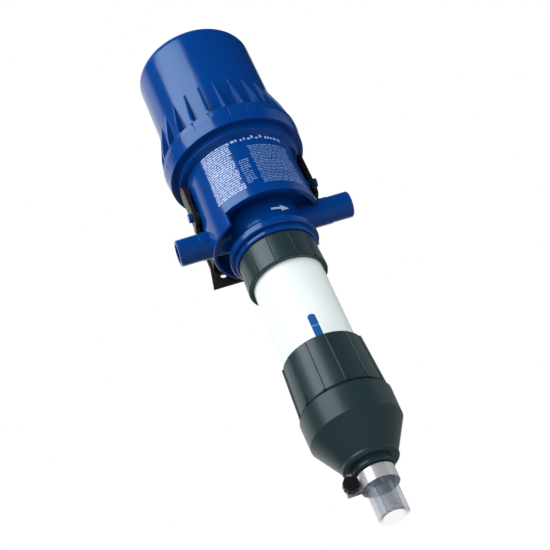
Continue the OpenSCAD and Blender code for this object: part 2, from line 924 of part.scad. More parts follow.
// A toggle link: an eye on the pivot pin, a collar for the spring, and a rod that slides in the bridge's eye.
module toggle_link(side) {
    translate([side * pivot_x, 0, pivot_z])
        rotate([0, side < 0 ? 180 + toggle_tilt : -toggle_tilt, 0])
            mirror([1, 0, 0])
                difference() {
                    union() {
                        rotate([90, 0, 0])
                            cylinder(r = link_eye_r, h = link_eye_l, center = true, $fn = 48);
                        rotate([0, 90, 0])
                            cylinder(r = link_r, h = pivot_x - eye_x + 5, $fn = 32);
                        translate([2, 0, 0])
                            rotate([0, 90, 0])
                                cylinder(r = 3.9, h = 3, $fn = 40);
                    }
                    cross_pin(small_pin_r + pin_play, link_eye_l + 2);
                }
}

module toggle_spring(side) {
    translate([side * pivot_x, 0, pivot_z])
        rotate([0, side < 0 ? 180 + toggle_tilt : -toggle_tilt, 0])
            mirror([1, 0, 0])
                rotate([0, 90, 0])
                    coil(2.9, 0.5, 5.7, pivot_x - eye_x - eye_t / 2 - 7, 7, 12);
}

module toggle_left() {
    color(steel)
        place()
            toggle_link(-1);
}

module toggle_right() {
    color(steel)
        place()
            toggle_link(1);
}

module toggle_spring_left() {
    color(steel)
        place()
            toggle_spring(-1);
}

module toggle_spring_right() {
    color(steel)
        place()
            toggle_spring(1);
}

// Outline of the rounded lower edge of the cup's cone.
function cone_edge(steps = 5) = [for (i = [0 : steps])
    let (a = 30 - 120 * i / steps)
    [cone_r - 3 + 3 * cos(a), -cone_end + 3 + 3 * sin(a)]];

module dosing_cup() {
    color(slate)
        place()
            difference() {
                rotate_extrude()
                    polygon(concat(
                        [[cup_bore, -neck_top], [neck_out, -neck_top], [neck_out, -cup_top],
                         [cup_r - 1, -cup_top], [cup_r, -cup_top - 1], [cup_r - 0.5, -cup_cone]],
                        cone_edge(),
                        [[boss_r, -cone_end], [boss_r, -boss_end + 1], [boss_r - 1, -boss_end],
                         [barb_body_r + 0.1, -boss_end], [barb_body_r + 0.1, -pocket_end],
                         [sleeve_out + 3.3, -pocket_end], [sleeve_out + 3.3, -cup_floor],
                         [sleeve_out + 7, -cup_floor], [cup_bore, -cup_cone - 2]]
                    ));
                oring_groove(neck_out, 1.4, -clip_z, 3);
                tube(sleeve_out + 2.6, sleeve_out + 0.2, -pocket_end - 2.2, -pocket_end + 1);
            }
}

module inner_sleeve() {
    color(ivory)
        place()
            difference() {
                union() {
                    tube(sleeve_out, sleeve_r, -pocket_end, -sleeve_top);
                    tube(sleeve_out + 3, sleeve_r, -pocket_end, -cup_floor);
                }
                translate([0, 0, -sleeve_top - 1.5])
                    cylinder(r1 = sleeve_r, r2 = sleeve_r + 1.5, h = 1.5 + eps);
            }
}

module sleeve_oring() {
    color(seal_black)
        place()
            oring(sleeve_out + 1.4, 1, -pocket_end - 1.1);
}

seat_step = 4;
seat_top = cup_floor - seat_step;
seat_r = sleeve_r - 0.1;
poppet_z = -seat_top + 1.6;
poppet_t = 3;
seat_bore = 6;
check_room = 20;
cage_z = -seat_top + check_room;
cage_t = 8;

module check_seat() {
    color(ivory)
        place()
            tube(seat_r, seat_bore, -pocket_end, -seat_top);
}

module check_poppet() {
    color([0.75, 0.2, 0.15])
        place() {
            translate([0, 0, poppet_z])
                cylinder(r = 11, h = poppet_t);
            translate([0, 0, -seat_top - 5])
                cylinder(r = 4.5, h = poppet_z + seat_top + 5 + eps);
            translate([0, 0, poppet_z + poppet_t - eps])
                cylinder(r = 2.5, h = cage_z + 4.8 - poppet_z - poppet_t);
        }
}

module poppet_seal() {
    color(seal_black)
        place()
            tube(10.5, 4.6, -seat_top + 0.05, poppet_z - 0.02);
}

module check_spring() {
    color(steel)
        place()
            coil(4.4, 0.6, poppet_z + poppet_t + 0.8, cage_z - poppet_z - poppet_t - 1.6, 5);
}

module check_cage() {
    color(ivory)
        place()
            difference() {
                translate([0, 0, cage_z])
                    cylinder(r = seat_r, h = cage_t);
                translate([0, 0, cage_z - 1])
                    cylinder(r = 2.6, h = cage_t + 2);
                around(6)
                    translate([11, 0, cage_z - 1])
                        cylinder(r = 3.4, h = cage_t + 2, $fn = 40);
            }
}

// Straight edge of the nut's outer surface at a given depth.
function nut_r_at(depth) = nut_r1 + (nut_r2 - nut_r1) * (depth - nut_top) / (nut_end - nut_top);

module adjusting_nut() {
    color(slate)
        place()
            difference() {
                union() {
                    rotate_extrude()
                        polygon([
                            [dose_r + 0.3, -nut_top], [nut_r1 - nut_rib_h - 0.8, -nut_top],
                            [nut_r1 - nut_rib_h, -nut_top - 1], [nut_r2 - nut_rib_h, -nut_end],
                            [neck_out + 0.3, -nut_end], [neck_out + 0.3, -neck_top + 0.4],
                            [dose_r + 0.3, -neck_top + 0.4]
                        ]);
                    intersection() {
                        around(nut_ribs, -88)
                            translate([dose_r + 1, -1.1, -nut_end])
                                cube([10, 2.2, nut_end - nut_top - 1.5]);
                        rotate_extrude()
                            polygon([
                                [dose_r + 1, -nut_top], [nut_r_at(nut_top), -nut_top - 1],
                                [nut_r2, -nut_end], [dose_r + 1, -nut_end]
                            ]);
                        difference() {
                            translate([0, 0, -nut_end])
                                cylinder(r = 60, h = nut_end - nut_top);
                            translate([0, 0, -nut_end - 1])
                                cylinder(r = neck_out + 0.4, h = nut_end - neck_top + 1.5);
                        }
                    }
                }
                tube(clip_out + 0.4, neck_out - 1, -clip_z - 1.5, -clip_z + 1.5);
            }
}

// Open snap ring that lets the nut turn on the cup's neck but not leave it.
module nut_clip() {
    color(steel)
        place()
            difference() {
                tube(clip_out, neck_out - 1.1, -clip_z - 1, -clip_z + 1);
                translate([0, 34, -clip_z - 2])
                    cube([10, 20, 4]);
            }
}

module hose_barb() {
    color(slate)
        place()
            rotate_extrude()
                polygon(concat(
                    [[barb_bore, -pocket_end - 2.5], [barb_body_r, -pocket_end - 2.5],
                     [barb_body_r, -boss_end], [barb_r - 0.6, -boss_end]],
                    [for (i = [0 : 3]) for (p = [[barb_r, 1.2], [barb_r - 0.6, 4]])
                        [p[0], -boss_end - i * 4 - p[1]]],
                    [[barb_bore + 1, -boss_end - 17.5], [barb_bore, -boss_end - 17.5]]
                ));
}

module barb_oring() {
    color(seal_black)
        place()
            oring(barb_r - 0.1, 1.15, -pocket_end - 1.25);
}

// Hose pushed over the barb, wider there, and cut square at its free end.
module suction_hose() {
    color([0.62, 0.65, 0.75])
        place()
            rotate_extrude()
                polygon([
                    [barb_r + 0.15, -hose_top], [clamp_r - 1.3, -hose_top], [clamp_r - 1.3, -clamp_z - clamp_w - 1],
                    [hose_r, -clamp_z - clamp_w - 5], [hose_r, -hose_end], [hose_bore, -hose_end],
                    [hose_bore, -clamp_z - clamp_w - 6], [barb_r + 0.15, -clamp_z - clamp_w - 4]
                ]);
}

// Band with two ears on the left, which the clamp screw pulls together.
module clamp_band() {
    color(steel)
        place()
            translate([0, 0, -clamp_z - clamp_w])
                difference() {
                    union() {
                        cylinder(r = clamp_r, h = clamp_w);
                        translate([-clamp_r - ear_len, -ear_gap - ear_t, 0])
                            cube([ear_len + 1, 2 * (ear_gap + ear_t), clamp_w]);
                        translate([-tab_x - tab_w, -ear_gap - ear_t, clamp_w - eps])
                            cube([tab_w, ear_t, tab_h]);
                    }
                    translate([0, 0, -1])
                        cylinder(r = clamp_r - ear_t, h = clamp_w + 2);
                    translate([-clamp_r - ear_len - 1, -ear_gap, -1])
                        cube([ear_len + 6, 2 * ear_gap, clamp_w + 2]);
                    translate([-screw_x, 0, clamp_w / 2])
                        rotate([90, 0, 0])
                            cylinder(r = screw_r + 0.1, h = 20, center = true, $fn = 48);
                }
}

module clamp_nut() {
    color(steel)
        place()
            translate([-screw_x, ear_gap + ear_t, -clamp_z - clamp_w / 2])
                difference() {
                    translate([-4, 0, -4])
                        cube([8, 3.2, 8]);
                    rotate([-90, 0, 0])
                        translate([0, 0, -1])
                            cylinder(r = screw_r + 0.05, h = 6, $fn = 48);
                }
}

// Screw through both ears, with a fluted knob on its head.
module clamp_screw() {
    color([0.08, 0.1, 0.09])
        place()
            translate([-screw_x, 0, -clamp_z - clamp_w / 2])
                rotate([90, 0, 0])
                    difference() {
                        union() {
                            translate([0, 0, -8])
                                cylinder(r = screw_r, h = 12, $fn = 48);
                            translate([0, 0, ear_gap + ear_t + 0.2])
                                cylinder(r = knob_r, h = 7);
                        }
                        around(10)
                            translate([knob_r + 0.6, 0, 0])
                                cylinder(r = 1.3, h = 20, $fn = 24);
                    }
}

wall_bracket();
pump_body();
cylinder_liner();
liner_oring();
bell_housing();
bell_oring();
retaining_ring();
cylinder_oring();
dosing_cylinder();
bleed_button();
bleed_poppet();
bleed_oring();
bleed_spring();
piston_head();
head_lip_seal();
piston_skirt();
skirt_lip_seal();
toggle_pins();
plunger_rod();
rod_pin();
dosing_plunger();
plunger_cup_seal();
plunger_nut();
valve_rod();
valve_rod_clips();
valve_bridge();
upper_valves();
lower_valves();
toggle_left();
toggle_right();
toggle_spring_left();
toggle_spring_right();
dosing_cup();
inner_sleeve();
sleeve_oring();
check_seat();
check_cage();
check_poppet();
poppet_seal();
check_spring();
adjusting_nut();
nut_clip();
hose_barb();
barb_oring();
suction_hose();
clamp_band();
clamp_nut();
clamp_screw();
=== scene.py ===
import json
import math
import random

import bmesh
import bpy
from bpy.props import FloatProperty, FloatVectorProperty, IntProperty, PointerProperty
from mathutils import Matrix, Vector


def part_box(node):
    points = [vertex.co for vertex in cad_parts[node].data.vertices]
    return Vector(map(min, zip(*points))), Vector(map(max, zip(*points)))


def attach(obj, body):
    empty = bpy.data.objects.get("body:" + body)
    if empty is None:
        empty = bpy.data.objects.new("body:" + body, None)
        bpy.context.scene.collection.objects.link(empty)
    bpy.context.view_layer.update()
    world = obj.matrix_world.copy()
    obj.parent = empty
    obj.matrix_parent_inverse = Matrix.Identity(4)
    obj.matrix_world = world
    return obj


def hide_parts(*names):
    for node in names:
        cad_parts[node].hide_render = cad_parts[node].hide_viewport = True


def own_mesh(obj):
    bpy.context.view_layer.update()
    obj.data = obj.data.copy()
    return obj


bl_info = {
    "name": "Water-powered dosing pump",
    "version": (1, 0, 0),
    "blender": (4, 5, 0),
    "location": "3D View > Sidebar > Dosing pump",
    "description": "Finishes, printed marks and studio of a water-powered dosing pump",
    "category": "Object",
}

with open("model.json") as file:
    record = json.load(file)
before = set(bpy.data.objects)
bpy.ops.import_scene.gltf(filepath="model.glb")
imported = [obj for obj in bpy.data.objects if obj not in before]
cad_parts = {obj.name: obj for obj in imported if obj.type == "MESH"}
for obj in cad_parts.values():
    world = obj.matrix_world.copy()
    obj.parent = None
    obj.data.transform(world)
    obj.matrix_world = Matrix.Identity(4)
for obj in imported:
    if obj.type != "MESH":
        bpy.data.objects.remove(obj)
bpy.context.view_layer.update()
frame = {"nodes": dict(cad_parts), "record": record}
RECORD = frame["record"]


def mount_place(name):
    """Place of one of the pump's mounts, in the shared frame."""
    return Vector(next(mount["pos_m"] for mount in RECORD["mounts"] if mount["name"] == name))


OUTLET = mount_place("outlet_port")
AXIS_Y = OUTLET.y
STUB_Z = OUTLET.z

# Surfaces that carry marks, in metres. Heights are from the axis of the stubs, radii from the pump's.
NECK_RADIUS = 0.0375
CYLINDER_RADIUS = 0.035
WALL_TOP, WALL_BOTTOM = 0.0735, -0.0155
WALL_TOP_RADIUS, WALL_BOTTOM_RADIUS = 0.0554, 0.0576

WHITE = (1, 1, 1, 1)

# Turns a flat grid or ring up on its edge, to face the front.
UPRIGHT = Matrix.Rotation(math.pi / 2, 4, "X")


# Sums on node sockets

class Wire:
    """An output socket that Python sums can be written on."""

    def __init__(self, finish, socket):
        self.finish = finish
        self.socket = socket

    def __add__(self, other):
        return self.finish.work_out("ADD", self, other)

    def __radd__(self, other):
        return self.finish.work_out("ADD", other, self)

    def __sub__(self, other):
        return self.finish.work_out("SUBTRACT", self, other)

    def __rsub__(self, other):
        return self.finish.work_out("SUBTRACT", other, self)

    def __mul__(self, other):
        return self.finish.work_out("MULTIPLY", self, other)

    def __rmul__(self, other):
        return self.finish.work_out("MULTIPLY", other, self)

    def above(self, edge, softness):
        """1 where the value is over an edge, 0 below it, with a soft step between."""
        return self.finish.node(
            "ShaderNodeMapRange",
            {"interpolation_type": "SMOOTHSTEP"},
            {"Value": self, "From Min": edge - softness, "From Max": edge + softness},
        )

    def swing(self, amount):
        """A pattern's change about its middle value, which adds as much as it takes away."""
        return (self - 0.5) * amount


class Finish:
    """The nodes of one material or of the world."""

    def __init__(self, tree):
        self.tree = tree
        tree.nodes.clear()

    def node(self, kind, settings=None, inputs=None, output=0):
        """Adds a node of a type, sets it up, then fills or links its sockets."""
        made = self.tree.nodes.new(kind)
        for name, value in (settings or {}).items():
            setattr(made, name, value)
        for name, value in (inputs or {}).items():
            if isinstance(value, Wire):
                self.tree.links.new(value.socket, made.inputs[name])
            else:
                made.inputs[name].default_value = value
        return Wire(self, made.outputs[output]) if made.outputs else None

    def work_out(self, operation, first, second):
        """What one Math node makes of two values."""
        return self.node("ShaderNodeMath", {"operation": operation}, {0: first, 1: second})

    def mix(self, amount, first, second):
        """The first colour where the amount is 0, the second where it is 1."""
        return self.node(
            "ShaderNodeMix", {"data_type": "RGBA"}, {0: amount, 6: first, 7: second}, output=2
        )

    def place(self):
        """Place on the object, in metres."""
        return self.node("ShaderNodeTexCoord", output="Object")

    def place_along(self, axis):
        """Place on the object along X, Y or Z."""
        return self.node("ShaderNodeSeparateXYZ", inputs={"Vector": self.place()}, output=axis)

    def cloud(self, scale, detail=2.0, roughness=0.5, stretch=(1, 1, 1)):
        """Noise, finer as its scale grows and drawn out along an axis whose stretch is under 1."""
        spread = self.node(
            "ShaderNodeMapping", {"vector_type": "POINT"}, {"Vector": self.place(), "Scale": stretch}
        )
        return self.node(
            "ShaderNodeTexNoise",
            inputs={"Vector": spread, "Scale": scale, "Detail": detail, "Roughness": roughness},
        )

    def bump(self, height, depth, strength, base=None):
        """A surface that a pattern raises, over a base normal where one is given."""
        inputs = {"Strength": strength, "Distance": depth, "Height": height}
        if base is not None:
            inputs["Normal"] = base
        return self.node("ShaderNodeBump", inputs=inputs)

    def close(self, shader):
        """Closes the material with a shader."""
        self.node("ShaderNodeOutputMaterial", inputs={"Surface": shader})

    def close_with(self, inputs):
        """Closes the material with a Principled BSDF that has these inputs."""
        self.close(self.node("ShaderNodeBsdfPrincipled", inputs=inputs))


def shade(red, green, blue):
    """A colour given as it looks on screen, from 0 to 255, as linear values."""
    linear = []
    for value in (red, green, blue):
        part = value / 255
        linear.append(part / 12.92 if part <= 0.04045 else ((part + 0.055) / 1.055) ** 2.4)
    return (*linear, 1.0)


def scaled(colour, factor):
    """A colour made darker by a factor under 1 or paler by one over 1."""
    return (*(min(1.0, part * factor) for part in colour[:3]), 1.0)


def new_finish(name):
    """A new material and its nodes."""
    material = bpy.data.materials.new(name)
    material.use_nodes = True
    return material, Finish(material.node_tree)


# Finishes of the pump's materials

def worn_and_highlit_corners(finish, eased):
    """1 where a corner is worn and carries a painted highlight, in patches; eased is the normal of the
    rounded corners.
    """
    facing = finish.node("ShaderNodeNewGeometry", output="Normal")
    flatness = finish.node(
        "ShaderNodeVectorMath", {"operation": "DOT_PRODUCT"}, {0: eased, 1: facing}, output="Value"
    )
    corner = (1 - flatness).above(0.1, softness=0.08)
    return corner * finish.cloud(150.0, detail=3.0, roughness=0.6).above(0.42, softness=0.2)


def joint_painted_shade(finish, joint_height):
    """1 in the joint between two parts, where painted shade darkens the gap between them."""
    below, above = 0.0015, 0.0022
    height = finish.place_along("Z")
    over_bottom = height.above(joint_height - below, softness=0.0004)
    over_top = height.above(joint_height + above, softness=0.0005)
    return over_bottom * (1 - over_top)


def moulded_plastic(name, colour, roughness, grain, wave, scuff, scuff_tint=None, coat=0.0,
                    refraction=1.47, gloss_tint=(1, 1, 1), edge=0.0005, wear_and_highlight=0.5, joint_height=None):
    """Moulded plastic: waves from the mould, fine grain, cloudy gloss, light scuffs, and soft edges that are
    worn and carry a painted highlight.

    Grain and wave are depths and edge is a radius, in metres; scuff, and the wear with painted highlight on
    corners, are shares from 0 to 1.
    A joint_height is where the part meets the next one, with painted shade darkening the gap at the joint.
    """
    material, finish = new_finish(name)
    eased = finish.node("ShaderNodeBevel", {"samples": 6}, {"Radius": edge})
    worn_and_highlit = worn_and_highlit_corners(finish, eased) * wear_and_highlight
    slow = finish.cloud(22.0, detail=1.0)
    cloudy = finish.cloud(90.0, detail=3.0, roughness=0.6)
    fine = finish.cloud(2600.0, detail=1.0)
    scratched = finish.cloud(420.0, detail=4.0, roughness=0.7, stretch=(1.0, 1.0, 0.16))
    scratched = scratched.above(0.66, softness=0.05)
    rubbed = finish.cloud(34.0).above(0.55, softness=0.12) * scratched * scuff
    tint = finish.mix(slow, scaled(colour, 0.93), scaled(colour, 1.07))
    tint = finish.mix(rubbed, tint, scuff_tint or scaled(colour, 1.8))
    # Corners lightened: partly wear, partly a painted highlight along the edges.
    tint = finish.mix(worn_and_highlit, tint, scuff_tint or scaled(colour, 2.2))
    rough = roughness + cloudy.swing(0.07) + rubbed * 0.22 + worn_and_highlit * 0.1
    if joint_height is not None:
        # Painted shade: the colour darkens and the gloss dulls in the joint with the next part, where the
        # gap's shadow falls.
        painted_shade = joint_painted_shade(finish, joint_height)
        tint = finish.mix(painted_shade * 0.92, tint, scaled(colour, 0.04))
        rough = rough + painted_shade * 0.4
    waved = finish.bump(slow, wave, strength=1.0, base=eased)
    grained = finish.bump(fine + scratched * scuff, grain, strength=0.6, base=waved)
    finish.close_with({
        "Base Color": tint,
        "Roughness": rough,
        "IOR": refraction,
        "Specular Tint": (*gloss_tint, 1),
        "Coat Weight": coat,
        "Coat Roughness": 0.08,
        "Normal": grained,
    })
    return material


def bright_steel(name, colour, roughness, turned, metal=1.0):
    """Bright steel with fine lines, round it where it is turned and upright where it is drawn."""
    material, finish = new_finish(name)
    lines = finish.cloud(
        900.0, detail=3.0, roughness=0.6, stretch=(0.05, 0.05, 1.0) if turned else (1.0, 1.0, 0.08)
    )
    stains = finish.cloud(60.0, detail=3.0)
    tint = finish.mix(stains, scaled(colour, 0.88), colour)
    rough = roughness + lines.swing(0.12) + stains.swing(0.08)
    brushed = finish.bump(lines, depth=0.00002, strength=0.5)
    finish.close_with(
        {"Base Color": tint, "Metallic": metal, "Roughness": rough, "Normal": brushed}
    )
    return material


def soft_rubber(name, colour):
    """Moulded rubber with a dull bloom."""
    material, finish = new_finish(name)
    bloom = finish.cloud(120.0, detail=3.0)
    fine = finish.cloud(1800.0, detail=1.0)
    tint = finish.mix(bloom, colour, scaled(colour, 1.9))
    grained = finish.bump(fine, depth=0.00004, strength=0.5)
    finish.close_with({"Base Color": tint, "Roughness": 0.62 + bloom.swing(0.2), "Normal": grained})
    return material


def clear_hose(name, colour, cover):
    """Soft clear hose with drawn lines along it.

    Its front half hides a share of what is behind, the cover, and its back half almost nothing.
    """
    material, finish = new_finish(name)
    drawn = finish.cloud(150.0, stretch=(1.0, 1.0, 0.04))
    haze = finish.cloud(45.0)
    back_half = finish.place_along("Y").above(AXIS_Y + 0.001, softness=0.006)
    tint = finish.mix(drawn.above(0.52, softness=0.14), scaled(colour, 0.45), scaled(colour, 1.2))
    ridged = finish.bump(drawn, depth=0.00012, strength=0.6)
    finish.close_with({
        "Base Color": tint,
        "Roughness": 0.16 + haze * 0.1,
        "Alpha": (cover + haze.swing(0.25)) * (1 - back_half * 0.93),
        "Normal": ridged,
    })
    return material


def printed_ink(name, colour, roughness=0.45):
    """Printed ink, a little uneven where it lies on the plastic."""
    material, finish = new_finish(name)
    patchy = finish.cloud(700.0, detail=3.0, roughness=0.65)
    tint = finish.mix(patchy, scaled(colour, 0.82), scaled(colour, 1.05))
    finish.close_with({"Base Color": tint, "Roughness": roughness + patchy * 0.1})
    return material


# Shapes and pieces

def wall_radius(height):
    """Radius of the body's outer wall, which widens downward to its lip."""
    share = (WALL_TOP - height) / (WALL_TOP - WALL_BOTTOM)
    return WALL_TOP_RADIUS + (WALL_BOTTOM_RADIUS - WALL_TOP_RADIUS) * share


def flat_bar(mesh, left, right, low, high, longest=0.003):
    """One printed bar: a flat sheet in pieces short enough to follow the curve."""
    cuts = max(1, math.ceil((right - left) / longest))
    place = (
        Matrix.Translation(((left + right) / 2, 0, (low + high) / 2))
        @ Matrix.Diagonal((right - left, 1, high - low, 1))
        @ UPRIGHT
    )
    bmesh.ops.create_grid(mesh, x_segments=cuts, y_segments=1, size=0.5, matrix=place)


def thicken(mesh, depth):
    """Gives flat sheets a thickness towards the surface that carries them."""
    grown = bmesh.ops.extrude_face_region(mesh, geom=list(mesh.faces))
    back = [item for item in grown["geom"] if isinstance(item, bmesh.types.BMVert)]
    bmesh.ops.translate(mesh, vec=(0, -depth, 0), verts=back)


def bend_round(mesh, radius_at, lift):
    """Bends flat sheets, drawn as X along the surface and Z up, round the pump's axis."""
    for vert in mesh.verts:
        across, out, height = vert.co
        radius = radius_at(height)
        angle = across / radius
        reach = radius + lift + out
        vert.co = Vector((reach * math.sin(angle), AXIS_Y - reach * math.cos(angle), STUB_Z + height))
    bmesh.ops.recalc_face_normals(mesh, faces=mesh.faces)


def add_piece(name, mesh, body, material, smooth=False):
    """Turns a bmesh into a finished piece that rides on a body."""
    data = bpy.data.meshes.new(name)
    mesh.to_mesh(data)
    mesh.free()
    for face in data.polygons:
        face.use_smooth = smooth
    piece = bpy.data.objects.new(name, data)
    bpy.context.scene.collection.objects.link(piece)
    data.materials.append(material)
    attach(piece, body)
    return piece


def add_mark(name, mesh, radius_at, lift, depth, ink):
    """Turns flat sheets into a thin mark on the pump, which stands off its surface by the lift."""
    thicken(mesh, depth)
    bend_round(mesh, radius_at, lift)
    add_piece(name, mesh, "pump", ink)


def coil_spring(name, body, travel, turns, wire, material):
    """A round-wire spring in place of a node's plain one."""
    low, high = (Vector(corner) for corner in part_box(name))
    middle = (low + high) / 2
    reach = (high.x - low.x) / 2 - wire
    steps_per_turn = 28
    steps = round(steps_per_turn * turns)
    climb = (high.z - low.z - 2 * wire) / steps
    mesh = bmesh.new()
    start = Matrix.Translation((middle.x + reach, middle.y, low.z + wire)) @ UPRIGHT
    bmesh.ops.create_circle(mesh, cap_ends=False, segments=10, radius=wire, matrix=start)
    bmesh.ops.spin(
        mesh, geom=list(mesh.verts) + list(mesh.edges), cent=(middle.x, middle.y, 0), axis=(0, 0, 1),
        dvec=(0, 0, climb), angle=math.tau * turns, steps=steps, space=Matrix(),
    )
    bmesh.ops.remove_doubles(mesh, verts=mesh.verts, dist=1e-7)
    bmesh.ops.holes_fill(mesh, edges=[edge for edge in mesh.edges if edge.is_boundary], sides=0)
    bmesh.ops.recalc_face_normals(mesh, faces=mesh.faces)
    piece = add_piece(name + "_coil", mesh, body, material, smooth=True)
    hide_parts(name)
    length = high.z - low.z
    (length - travel) / length
    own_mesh(piece)


def joint_travel(name):
    """Length of a sliding joint's range, in metres."""
    joints = RECORD["behaviour"]["joints"]
    low, high = next(joint["range_m"] for joint in joints if joint["name"] == name)
    return high - low


def finish_nodes(slot, material):
    """Gives a material to every node of one of the record's slots."""
    named = [part["node"] for part in RECORD["subparts"] if part["material_slot"] == slot]
    if not named:
        raise RuntimeError(f"no node uses the slot {slot}")
    for name in named:
        for holder in frame["nodes"][name].material_slots:
            holder.material = material


# Settings

def colour_setting(name, description, colour):
    return FloatVectorProperty(
        name=name, description=description, subtype="COLOR", size=4, min=0, max=1, default=colour,
    )


def power_setting(name, description, watts):
    return FloatProperty(name=name, description=description, unit="POWER", min=0, default=watts)


class PumpFinishSettings(bpy.types.PropertyGroup):
    """Colours and roughness of the pump's materials"""

    blue: colour_setting("Blue", "Colour of the bell and body", shade(0, 59, 135))
    slate: colour_setting("Slate", "Colour of the rings, nut and cup", shade(34, 53, 56))
    black: colour_setting("Black", "Colour of the bracket and knob", shade(14, 17, 18))
    white: colour_setting("White", "Colour of the dosing cylinder", shade(238, 247, 248))
    hose: colour_setting("Hose", "Tint of the clear hose", shade(150, 162, 178))
    roughness: FloatProperty(
        name="Roughness", description="Roughness of the blue plastic", subtype="FACTOR",
        min=0, max=1, default=0.17,
    )


class PumpMarkSettings(bpy.types.PropertyGroup):
    """Sizes of the marks on the pump"""

    arrow_length: FloatProperty(
        name="Arrow length", description="Length of the flow arrow", unit="LENGTH", default=0.019,
    )
    mark_width: FloatProperty(
        name="Mark width", description="Width of the index mark", unit="LENGTH", default=0.0074,
    )
    print_rows: IntProperty(
        name="Print rows", description="Rows of plain printed bars on the body", default=24, min=2,
    )


class PumpStageSettings(bpy.types.PropertyGroup):
    """Camera, floor and lights"""

    eye: FloatVectorProperty(
        name="Camera", description="Place of the camera", subtype="TRANSLATION", unit="LENGTH",
        size=3, default=(-0.2653, -1.1898, -0.8876),
    )
    lens: FloatProperty(
        name="Lens", description="Focal length in millimetres", unit="CAMERA", default=96.09,
    )
    floor: FloatProperty(
        name="Floor", description="Height of the floor", unit="LENGTH", default=-1.02,
    )
    key: power_setting("Key light", "Power of the soft light that the gloss shows", 13.4)
    card: power_setting("Card", "Power of the dim card beside the cup that the gloss shows", 0.6)
    left: power_setting("Left light", "Power of the soft light at the left", 7.0)
    front: power_setting("Front light", "Power of the soft light at the front", 6.4)
    right: power_setting("Right light", "Power of the soft light at the right", 9.0)
    back: power_setting("Back light", "Power of the soft light behind the pump", 8.5)
    low: power_setting("Low light", "Power of the soft light below the right side", 0.5)
    ambient: FloatProperty(
        name="Ambient", description="Level of the light from all round", min=0, default=0.46,
    )


# Operators

class PUMP_OT_finish_housing(bpy.types.Operator):
    """Blue moulded plastic of the bell and the body"""

    bl_idname = "pump.finish_housing"
    bl_label = "Finish the bell and body"

    def execute(self, context):
        look = context.scene.pump_finish
        finish_nodes(
            "blue_plastic",
            moulded_plastic(
                "blue moulded plastic", tuple(look.blue), look.roughness, grain=0.000012,
                wave=0.00025, scuff=0.25, refraction=1.65, gloss_tint=(0.46, 0.7, 0.87),
            ),
        )
        return {"FINISHED"}


class PUMP_OT_finish_dark_parts(bpy.types.Operator):
    """Dark plastic of the bracket, rings, nut, cup and knob"""

    bl_idname = "pump.finish_dark_parts"
    bl_label = "Finish the dark parts"

    def execute(self, context):
        look = context.scene.pump_finish
        # Painted shade darkens the slate in the gap under the nut.
        nut_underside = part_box("adjusting_nut")[0][2]
        finish_nodes(
            "slate_plastic",
            moulded_plastic(
                "slate plastic", tuple(look.slate), roughness=0.34, grain=0.00002, wave=0.0002,
                # The slate's corners carry a strong painted highlight as well as wear.
                scuff=0.35, refraction=1.62, gloss_tint=(0.72, 0.84, 0.92), edge=0.0008, wear_and_highlight=0.9,
                joint_height=nut_underside,
            ),
        )
        finish_nodes(
            "black_plastic",
            moulded_plastic(
                "bracket plastic", tuple(look.black), roughness=0.42, grain=0.00005, wave=0.0002,
                scuff=0.5,
            ),
        )
        finish_nodes(
            "knob_plastic",
            moulded_plastic(
                "knob plastic", tuple(look.black), roughness=0.4, grain=0.00004, wave=0.0001,
                scuff=0.5,
            ),
        )
        return {"FINISHED"}


class PUMP_OT_finish_pale_parts(bpy.types.Operator):
    """White dosing cylinder and the pale inner parts"""

    bl_idname = "pump.finish_pale_parts"
    bl_label = "Finish the pale parts"

    def execute(self, context):
        look = context.scene.pump_finish
        finish_nodes(
            "white_plastic",
            moulded_plastic(
                "white plastic", tuple(look.white), roughness=0.22, grain=0.00001, wave=0.0001,
                scuff=0.1, scuff_tint=shade(200, 206, 206), coat=0.2,
            ),
        )
        finish_nodes(
            "ivory_plastic",
            moulded_plastic(
                "natural plastic", shade(214, 212, 200), roughness=0.4, grain=0.00003, wave=0.0001,
                scuff=0.1, scuff_tint=shade(180, 178, 166),
            ),
        )
        return {"FINISHED"}


class PUMP_OT_finish_seals(bpy.types.Operator):
    """Rubber of the O-rings, lip seals and valve discs"""

    bl_idname = "pump.finish_seals"
    bl_label = "Finish the seals"

    def execute(self, context):
        finish_nodes("black_rubber", soft_rubber("black rubber", shade(26, 26, 27)))
        finish_nodes("red_rubber", soft_rubber("red rubber", shade(150, 44, 36)))
        return {"FINISHED"}


class PUMP_OT_finish_metal(bpy.types.Operator):
    """Steel of the springs, pins, rods and the hose clamp"""

    bl_idname = "pump.finish_metal"
    bl_label = "Finish the metal parts"

    def execute(self, context):
        finish_nodes(
            "spring_steel",
            bright_steel("stainless steel", shade(200, 201, 204), roughness=0.28, turned=False),
        )
        finish_nodes(
            "band_steel",
            bright_steel("clamp steel", shade(226, 227, 231), roughness=0.24, turned=True, metal=0.5),
        )
        return {"FINISHED"}


class PUMP_OT_springs(bpy.types.Operator):
    """Springs of the bleed button and the check valve"""

    bl_idname = "pump.springs"
    bl_label = "Springs"

    def execute(self, context):
        steel = bright_steel("spring wire", shade(196, 198, 202), roughness=0.25, turned=False)
        for name, body, joint, turns, wire, fixed_top in (
            ("bleed_spring", "pump", "bleed_press", 2.5, 0.0005, False),
            ("check_spring", "dosing_end", "check_lift", 5, 0.0006, True),
        ):
            coil_spring(name, body, joint_travel(joint), turns, wire, steel)
        return {"FINISHED"}


class PUMP_OT_finish_hose(bpy.types.Operator):
    """Clear suction hose"""

    bl_idname = "pump.finish_hose"
    bl_label = "Finish the hose"

    def execute(self, context):
        look = context.scene.pump_finish
        finish_nodes("clear_hose", clear_hose("clear soft hose", tuple(look.hose), cover=0.62))
        return {"FINISHED"}


